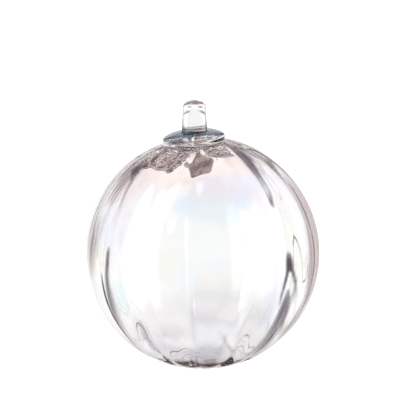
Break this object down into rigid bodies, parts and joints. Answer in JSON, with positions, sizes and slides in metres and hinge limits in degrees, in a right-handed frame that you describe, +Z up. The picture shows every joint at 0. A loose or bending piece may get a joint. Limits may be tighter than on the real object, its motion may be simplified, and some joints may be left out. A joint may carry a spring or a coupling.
{
  "type": "blown glass friendship ball",
  "caption": "Clear iridescent blown glass ball with soft melon lobes and an applied glass gob drawn up into a thick hanging loop.",
  "frame": {"origin": "top of the hole in the hanger's loop, where a hook bears", "axes": "+Z up out of the loop, X along the loop's hole, the ball hanging towards -Z"},
  "size_m": [0.1148, 0.1146, 0.1322],
  "materials": {
    "ball_glass": "clear, with a thin pastel iridescent film",
    "hanger_glass": "clear, polished by the flame"
  },
  "bodies": {
    "root": {"glass_ball": "ball_glass", "hanging_loop": "hanger_glass"}
  },
  "joints": []
}
